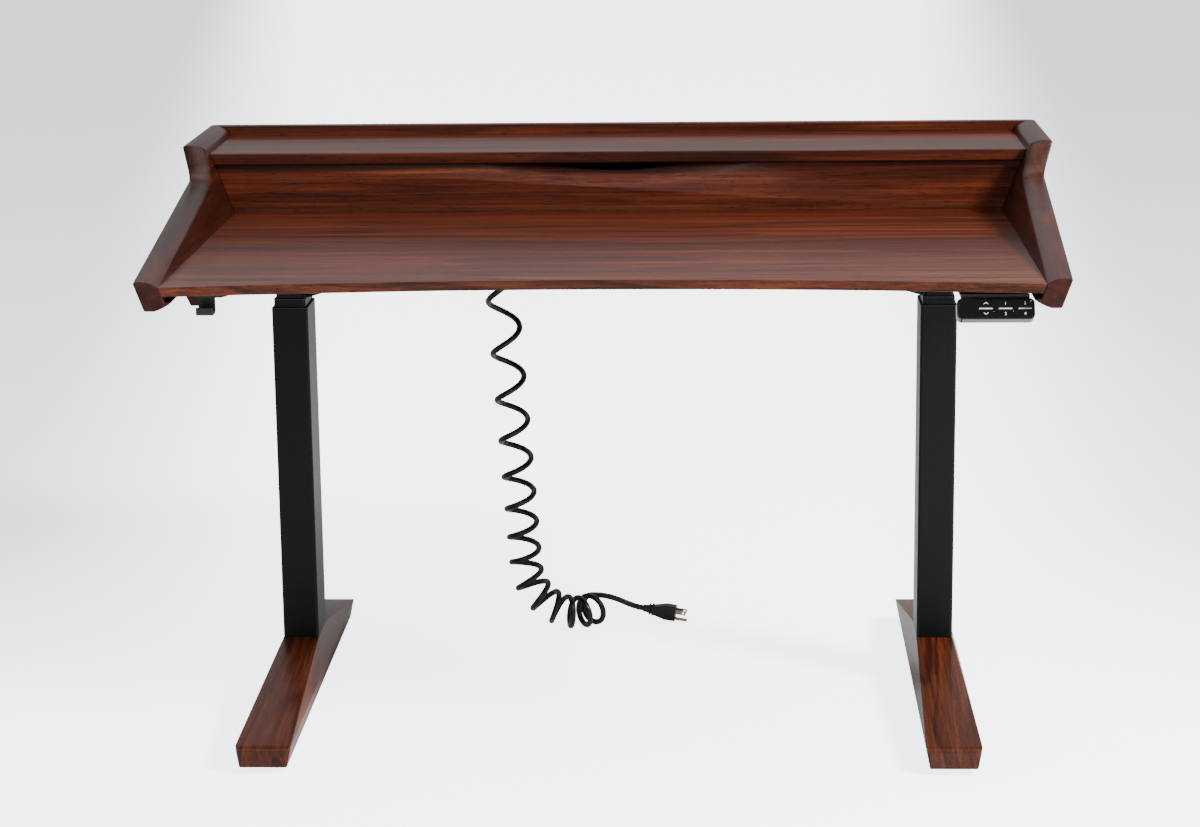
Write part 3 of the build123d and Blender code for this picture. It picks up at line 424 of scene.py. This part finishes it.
def chevron(sign):
    """Arrow stroke that points up or down."""
    half, rise, stroke = CHEVRON_HALF, CHEVRON_RISE / 2, CHEVRON_STROKE / 2
    upper = [(-half, -rise + stroke), (0, rise + stroke), (half, -rise + stroke)]
    lower = [(half, -rise - stroke), (0, rise - stroke), (-half, -rise - stroke)]
    return prism([(x, y * sign) for x, y in upper + lower], LEGEND_INK)


def digit(text):
    """Numeral in the plain built-in face, centred."""
    curve = bpy.data.curves.new("digit", "FONT")
    curve.body = text
    curve.size = LEGEND_SIZE
    curve.align_x = "CENTER"
    curve.extrude = LEGEND_INK
    curve.offset = LEGEND_BOLD
    holder = bpy.data.objects.new("digit", curve)
    bpy.context.scene.collection.objects.link(holder)
    mesh = bpy.data.meshes.new_from_object(holder.evaluated_get(bpy.context.evaluated_depsgraph_get()))
    bpy.data.objects.remove(holder)
    bm = bmesh.new()
    bm.from_mesh(mesh)
    bm.transform(Matrix.Translation((0, -LEGEND_HEIGHT / 2, 0)))
    return bm


def legends():
    """Arrows, numerals and the lamp beside them."""
    columns = (("up", "down"), ("1", "2"), ("3", "4"))
    for column, pair in enumerate(columns):
        for name, row in zip(pair, (1, -1)):
            bm = digit(name) if name.isdigit() else chevron(row)
            on_face(bm, KEY_FIRST_X + column * KEY_PITCH, row * KEY_ROW, KEY_PROUD)
            inked("legend_" + name, bm, "key_" + name)
    bm = bmesh.new()
    bmesh.ops.create_cone(
        bm, cap_ends=True, segments=LAMP_SIDES, radius1=LAMP_RADIUS, radius2=LAMP_RADIUS, depth=2 * LEGEND_INK
    )
    on_face(bm, *LAMP_PLACE, KEY_PROUD + LEGEND_INK)
    inked("key_lamp", bm, "key_3")


legends()


# Power cord
def ease_in(share):
    """Smooth rise from zero to one."""
    share = min(max(share, 0), 1)
    return share * share * (3 - 2 * share)


def axis_run(turn):
    """Length of the coil's axis down to a turn."""
    return COIL_SPREAD * (1 - math.exp(-turn / COIL_DECAY_TURNS))


STRAIGHT_DROP = COIL_TOP.z - COIL_RADIUS - CORD_DIAMETER / 2 - COIL_BEND * (1 - math.sin(COIL_LEAN))
STRAIGHT_RUN = STRAIGHT_DROP / math.cos(COIL_LEAN)
LAST_RUN = axis_run(COIL_LAST_TURN)
# The spline's points stand a little outside the curve that they draw
COIL_HULL_RADIUS = COIL_RADIUS / math.cos(math.pi / COIL_POINTS_PER_TURN)


def axis_heading(run):
    """Direction of the coil's axis and the two directions square to it."""
    dip = COIL_LEAN + min(max((run - STRAIGHT_RUN) / COIL_BEND, 0), math.pi / 2 - COIL_LEAN)
    yaw = COIL_YAW * max((run - STRAIGHT_RUN) / (LAST_RUN - STRAIGHT_RUN), 0) ** COIL_YAW_POWER
    level = Vector((math.cos(yaw), math.sin(yaw), 0))
    across = Vector((-math.sin(yaw), math.cos(yaw), 0))
    down = Vector((0, 0, -1))
    return level * math.sin(dip) + down * math.cos(dip), down * math.sin(dip) - level * math.cos(dip), across


def coil_route():
    """Points of the helix, from the gland down to the floor."""
    count = round((COIL_LAST_TURN - COIL_FIRST_TURN) * COIL_POINTS_PER_TURN)
    run = axis_run(COIL_FIRST_TURN)
    centre = COIL_TOP + axis_heading(0)[0] * run
    points = []
    for step in range(count + 1):
        turn = COIL_FIRST_TURN + step / COIL_POINTS_PER_TURN
        next_run = axis_run(turn)
        centre = centre + axis_heading((run + next_run) / 2)[0] * (next_run - run)
        run = next_run
        outward, across = axis_heading(run)[1:]
        radius = COIL_HULL_RADIUS * ease_in((turn - COIL_FIRST_TURN) / (COIL_FULL_TURN - COIL_FIRST_TURN))
        angle = math.tau * turn
        points.append(centre + (outward * math.cos(angle) + across * math.sin(angle)) * radius)
    return points


# Each ring of the sleeve: its place along the plug's heading and its radius, in mm
RELIEF_STEPS = (
    (-4, 4.4), (-3.4, 5.4), (5.2, 6.2), (5.4, 8.4), (6, 8.8), (7.6, 8.8), (8.2, 8.4), (8.4, 6.6), (11, 6.8),
)
RELIEF_SIDES = 32


def strain_relief():
    """Moulded sleeve and collar where the cord enters the plug."""
    bm = bmesh.new()
    turns = [math.tau * k / RELIEF_SIDES for k in range(RELIEF_SIDES)]
    rings = [
        [bm.verts.new((math.cos(turn) * radius, math.sin(turn) * radius, along)) for turn in turns]
        for along, radius in RELIEF_STEPS
    ]
    for low, high in zip(rings, rings[1:]):
        for k in range(RELIEF_SIDES):
            bm.faces.new((low[k - 1], low[k], high[k], high[k - 1]))
    bm.faces.new(rings[0])
    bm.faces.new(rings[-1])
    bmesh.ops.recalc_face_normals(bm, faces=bm.faces)
    turn = PLUG_HEADING.to_track_quat("Z", "Y").to_matrix().to_4x4()
    bm.transform(Matrix.Translation(PLUG_START) @ turn @ Matrix.Scale(MM, 4))
    sleeve = new_object("plug_strain_relief", bm, cord_pvc)
    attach(sleeve, "base")


def power_cord():
    """Curly cord on one smooth spline, from the gland to the plug."""
    coil = coil_route()
    lead = coil[0] + Vector((0, 0, CORD_DIAMETER))
    before_plug = PLUG_START - PLUG_HEADING * CORD_DIAMETER
    route = [lead, *coil, *TAIL, before_plug, PLUG_START]
    curve = bpy.data.curves.new("power_cord_line", "CURVE")
    curve.dimensions = "3D"
    curve.resolution_u = 3
    spline = curve.splines.new("NURBS")
    spline.points.add(len(route) - 1)
    for point, place in zip(spline.points, route):
        point.co = (*place, 1)
    spline.order_u = 3
    spline.use_endpoint_u = True
    holder = bpy.data.objects.new("power_cord_line", curve)
    bpy.context.scene.collection.objects.link(holder)
    bpy.context.view_layer.update()
    line = bpy.data.meshes.new_from_object(holder)
    curve.bevel_depth = CORD_DIAMETER / 2
    curve.bevel_resolution = 4
    curve.use_fill_caps = True
    bpy.context.view_layer.update()
    mesh = bpy.data.meshes.new_from_object(holder.evaluated_get(bpy.context.evaluated_depsgraph_get()))
    bpy.data.objects.remove(holder)
    bm = bmesh.new()
    bm.from_mesh(mesh)
    bmesh.ops.remove_doubles(bm, verts=bm.verts, dist=MERGE)
    cord = new_object("curly_cord", bm, cord_pvc)
    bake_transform(cord)
    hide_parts("power_cord")


strain_relief()
power_cord()


# Floor, light and camera
# The camera sees the paper washed out by a glow painted into the floor, which only the camera sees: a painted pool
# of light. It drifts a little to the left and widens towards the back. It falls off to both sides, and less so in
# front of the desk
FLOOR_SIZE = 60
PAINTED_FLOOR_GLOW = 4.0
GLOW_DRIFT = 0.04
GLOW_SPREAD = 0.1
GLOW_HALF = 0.3
GLOW_END = 1.05
GLOW_LOSS = 0.72
GLOW_NEAR = -0.3
GLOW_FAR = 1.0
GLOW_NEAR_SHARE = 0.12
BACKDROP_GLOW = 2.0
BACKDROP_FILL = 0.5
# Each light: its name, place, aim, size and power
LIGHTS = (
    ("overhead", (0.3, 0.5, 3.4), (0, 0.2, 0), (4.4, 2.6), 65),
    ("sheen", (0, 4.0, 2.1), (0, 0, 0.6), (4.5, 1.1), 5),
    ("key", (3.0, -1.6, 2.9), (0, 0, 0.2), (0.8, 0.8), 400),
    ("front", (-1.2, -3.6, 2.6), (0, 0, 0.5), (2.4, 1.6), 45),
)


def stage():
    """Pale floor that runs on to the horizon, with a painted pool of light that glows for the camera only."""
    bm = bmesh.new()
    bmesh.ops.create_grid(bm, x_segments=1, y_segments=1, size=FLOOR_SIZE)
    made, tree, shader = material("studio_paper")
    shader.inputs["Base Color"].default_value = colour("#f2f2f4")
    shader.inputs["Roughness"].default_value = 0.75
    shader.inputs["Emission Color"].default_value = colour("#f6f9ff")
    place = add(tree, "ShaderNodeTexCoord").outputs["Object"]
    split = add(tree, "ShaderNodeSeparateXYZ", links={0: place})
    back = split.outputs["Y"]
    aside = add(
        tree, "ShaderNodeMath", {"operation": "MULTIPLY_ADD", 1: GLOW_DRIFT}, {0: back, 2: split.outputs["X"]}
    ).outputs[0]
    aside = add(tree, "ShaderNodeMath", {"operation": "ABSOLUTE"}, {0: aside}).outputs[0]
    aside = add(
        tree, "ShaderNodeMath", {"operation": "MULTIPLY_ADD", 1: -GLOW_SPREAD}, {0: back, 2: aside}
    ).outputs[0]
    loss = add(
        tree, "ShaderNodeMapRange",
        {"interpolation_type": "SMOOTHSTEP", "From Min": GLOW_HALF, "From Max": GLOW_END, "To Max": GLOW_LOSS},
        {"Value": aside},
    ).outputs[0]
    depth = add(
        tree, "ShaderNodeMapRange",
        {"interpolation_type": "SMOOTHSTEP", "From Min": GLOW_NEAR, "From Max": GLOW_FAR,
         "To Min": -GLOW_NEAR_SHARE, "To Max": -1.0},
        {"Value": back},
    ).outputs[0]
    glow = add(tree, "ShaderNodeMath", {"operation": "MULTIPLY_ADD", 2: 1.0}, {0: loss, 1: depth}).outputs[0]
    glow = add(tree, "ShaderNodeMath", {"operation": "MULTIPLY", 1: PAINTED_FLOOR_GLOW}, {0: glow}).outputs[0]
    # Painted light: the floor's pool of glow is seen by camera rays only
    seen = add(tree, "ShaderNodeLightPath").outputs["Is Camera Ray"]
    glow = add(tree, "ShaderNodeMath", {"operation": "MULTIPLY"}, {0: glow, 1: seen}).outputs[0]
    tree.links.new(glow, shader.inputs["Emission Strength"])
    new_object("floor", bm, made)


def light(name, place, aim, size, power):
    """Soft rectangular light aimed at a point."""
    lamp = bpy.data.lights.new(name, "AREA")
    lamp.shape = "RECTANGLE"
    lamp.size, lamp.size_y = size
    lamp.energy = power
    holder = bpy.data.objects.new(name, lamp)
    holder.location = place
    holder.rotation_euler = (Vector(aim) - Vector(place)).to_track_quat("-Z", "Y").to_euler()
    bpy.context.scene.collection.objects.link(holder)


def studio():
    """Dim surroundings, a broad softbox overhead, a hard one at the front right, weak ones behind and in front."""
    world = bpy.data.worlds.new("studio")
    world.use_nodes = True
    tree = world.node_tree
    backdrop = tree.nodes["Background"]
    backdrop.inputs["Color"].default_value = colour("#eeeff2")
    seen = add(tree, "ShaderNodeLightPath").outputs["Is Camera Ray"]
    strength = add(
        tree, "ShaderNodeMath", {"operation": "MULTIPLY_ADD", 1: BACKDROP_GLOW, 2: BACKDROP_FILL}, {0: seen}
    ).outputs[0]
    tree.links.new(strength, backdrop.inputs["Strength"])
    bpy.context.scene.world = world
    for settings in LIGHTS:
        light(*settings)


def camera():
    """Camera at the measured place, turned by yaw, pitch and roll."""
    forward = Vector((
        -math.sin(CAMERA_YAW) * math.cos(CAMERA_PITCH),
        math.cos(CAMERA_YAW) * math.cos(CAMERA_PITCH),
        math.sin(CAMERA_PITCH),
    ))
    right = Vector((math.cos(CAMERA_YAW), math.sin(CAMERA_YAW), 0))
    down = forward.cross(right)
    level = right * math.cos(CAMERA_ROLL) + down * math.sin(CAMERA_ROLL)
    upright = right * math.sin(CAMERA_ROLL) - down * math.cos(CAMERA_ROLL)
    lens = bpy.data.cameras.new("camera")
    lens.sensor_width = CAMERA_SENSOR
    lens.sensor_fit = "HORIZONTAL"
    lens.lens = CAMERA_LENS
    holder = bpy.data.objects.new("camera", lens)
    axes = Matrix((level, upright, -forward)).transposed()
    holder.matrix_world = Matrix.Translation(CAMERA_PLACE) @ axes.to_4x4()
    bpy.context.scene.collection.objects.link(holder)
    bpy.context.scene.camera = holder


stage()
studio()
camera()
